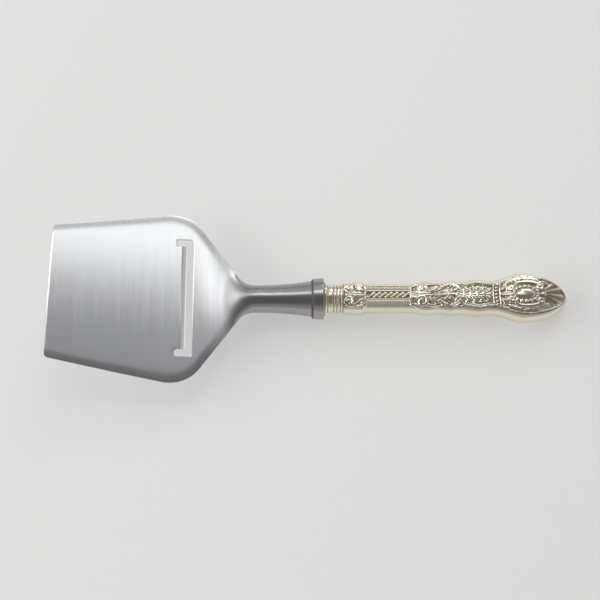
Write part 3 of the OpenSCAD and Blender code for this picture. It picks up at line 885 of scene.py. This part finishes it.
# Ferrule
# A silver band turned with a flange against the collar, one broad ring and three finer ones. It is pushed
# over the round mouth of the handle and soldered there.
ferrule_bore = 0.00495
ring_r = 0.0062
ring_h = 0.00045
tube_r = ring_r - ring_h
flange_r, flange_l = 0.0073, 0.0013
ring_widths = (0.0022, 0.001, 0.0011, 0.0008)
ring_gap = (ferrule_l - flange_l - sum(ring_widths)) / 5
ferrule_profile = [(0, ferrule_bore)]
ferrule_profile += arc((flange_l / 2, flange_r - flange_l / 2), flange_l / 2, 180, 0, 13)
ferrule_profile.append((flange_l, tube_r))
ring_x = flange_l + ring_gap
for ring_w in ring_widths:
    for turn in np.linspace(pi, 0, 17):
        out = ring_w / 2 * np.sign(cos(turn)) * abs(cos(turn))**0.7
        ferrule_profile.append((ring_x + ring_w / 2 + out, tube_r + ring_h * sin(turn)**0.7))
    ring_x += ring_w + ring_gap
ferrule_profile += [(ferrule_l, tube_r), (ferrule_l, ferrule_bore)]
ferrule = turned("ring_ferrule", ferrule_profile)
groove = points_of(ferrule)
lowness = smooth((ring_r - np.hypot(groove[:, 1], groove[:, 2])) / ring_h)
tarnish_and_shade_layer = ferrule.data.attributes.new("hollow", "FLOAT", "POINT")
tarnish_and_shade_layer.data.foreach_set("value", (0.6 * lowness).astype(np.float32))
lay_down(ferrule, "ferrule", silver)

# Table, light and camera
# A pale table top, soft boxes hung over the blade, the neck and the handle and at the sides and back, a
# dim room that is lighter behind the plane and near the floor, and the camera high on the near side.
table_w = 40
paper_shade = (0.86, 0.852, 0.84, 1)
paper_light = (0.88, 0.872, 0.86, 1)
paper_white = (0.93, 0.925, 0.915, 1)
white_share = 0.4
room_dim = (0.16, 0.16, 0.165, 1)
room_back = (0.60, 0.605, 0.61, 1)
room_low = (0.42, 0.42, 0.425, 1)
bpy.ops.object.select_all(action="DESELECT")
bpy.ops.mesh.primitive_plane_add(size=table_w, location=(0, 0, 0))
table = bpy.context.object
table.name = "table"
paper, shader, place = new_finish("pale_paper", 0.0)
fibre = place.grain((300, 300, 300))
fibre.colour(paper_shade, paper_light).into(shader, "Base Color")
shader.inputs["Roughness"].default_value = 0.9
shader.inputs["Specular IOR Level"].default_value = 0.1
ray = paper.node_tree.nodes.new("ShaderNodeLightPath")
seen = Field(ray.outputs["Is Camera Ray"]) + Field(ray.outputs["Is Glossy Ray"])
seen = seen + Field(ray.outputs["Is Transmission Ray"])
paper_glow = seen.node("ShaderNodeEmission", {}, {"Color": paper_white, "Strength": 1.0})
lit = Field(shader.outputs["BSDF"])
glow_share = seen.math("MINIMUM", seen, 1.0) * white_share
paper_look = seen.node("ShaderNodeMixShader", {}, {0: glow_share, 1: lit, 2: paper_glow})
paper_look.into(paper.node_tree.nodes["Material Output"], "Surface")
table.data.materials.append(paper)

world = bpy.data.worlds.new("studio")
bpy.context.scene.world = world
world.use_nodes = True
room = world.node_tree.nodes["Background"]
sky = Field(world.node_tree.nodes.new("ShaderNodeTexCoord").outputs["Generated"])
to_back = sky.node("ShaderNodeSeparateXYZ", {}, {0: sky}, 1).step(0.15, 0.85)
low = 1 - sky.node("ShaderNodeSeparateXYZ", {}, {0: sky}, 2).step(0.3, 0.65)
ceiling = to_back.colour(room_dim, room_back)
low.colour(ceiling, room_low).into(room, "Color")
room.inputs["Strength"].default_value = 1.0
aim = Vector((-0.005, 0, 0.008))


def soft_box(name, across, back, distance, size, slant, radiance):
    """A soft box over the plane, by its angles to the right and to the back, turned by its slant."""
    away = Vector((tan(radians(across)), tan(radians(back)), 1)).normalized()
    side = Vector((cos(radians(slant)), sin(radians(slant)), 0))
    side = (side - away * side.dot(away)).normalized()
    light = bpy.data.lights.new(name, "AREA")
    light.shape = "RECTANGLE"
    light.size, light.size_y = size
    light.energy = radiance * pi * size[0] * size[1]
    lamp = bpy.data.objects.new(name, light)
    facing = Matrix((side, away.cross(side), away)).transposed().to_4x4()
    lamp.matrix_world = Matrix.Translation(aim + away * distance) @ facing
    bpy.context.collection.objects.link(lamp)


soft_box("blade_box", 3.6, 26.6, 1.3, (0.42, 0.235), 64, 1.5)
soft_box("neck_box", -8, 22, 1.3, (0.33, 0.28), 0, 2.3)
soft_box("near_box", 0, 10, 1.3, (0.42, 0.14), 0, 0.5)
soft_box("handle_box", 16.7, 20.3, 0.545, (0.12, 0.07), 0, 1.3)
soft_box("root_box", -36, 25, 1.3, (0.80, 0.50), 0, 0.85)
soft_box("right_box", 62, 5, 1.4, (0.9, 1.8), 0, 0.2)
soft_box("left_box", -67, 5, 1.4, (0.8, 2.0), 0, 2.8)
soft_box("back_box", 31, 56, 1.4, (0.7, 0.4), 0, 2.3)

view_from_top = radians(20)
camera_l = 0.4553
focal_px = 1073.1
frame_px = 600
sensor_mm = 36
target = Vector((-0.00503, -0.00004, 0.008))
camera_turn, camera_roll = radians(0.28), radians(0.34)
camera = bpy.data.cameras.new("camera")
camera.sensor_width = sensor_mm
camera.lens = focal_px / frame_px * sensor_mm
camera.clip_start = 0.01
viewer = bpy.data.objects.new("camera", camera)
viewer.matrix_world = (
    Matrix.Translation(target) @ Matrix.Rotation(-camera_turn, 4, "Z")
    @ Matrix.Rotation(view_from_top, 4, "X") @ Matrix.Rotation(-camera_roll, 4, "Z")
    @ Matrix.Translation((0, 0, camera_l)))
bpy.context.collection.objects.link(viewer)
bpy.context.scene.camera = viewer
bpy.context.scene.view_settings.view_transform = "Standard"
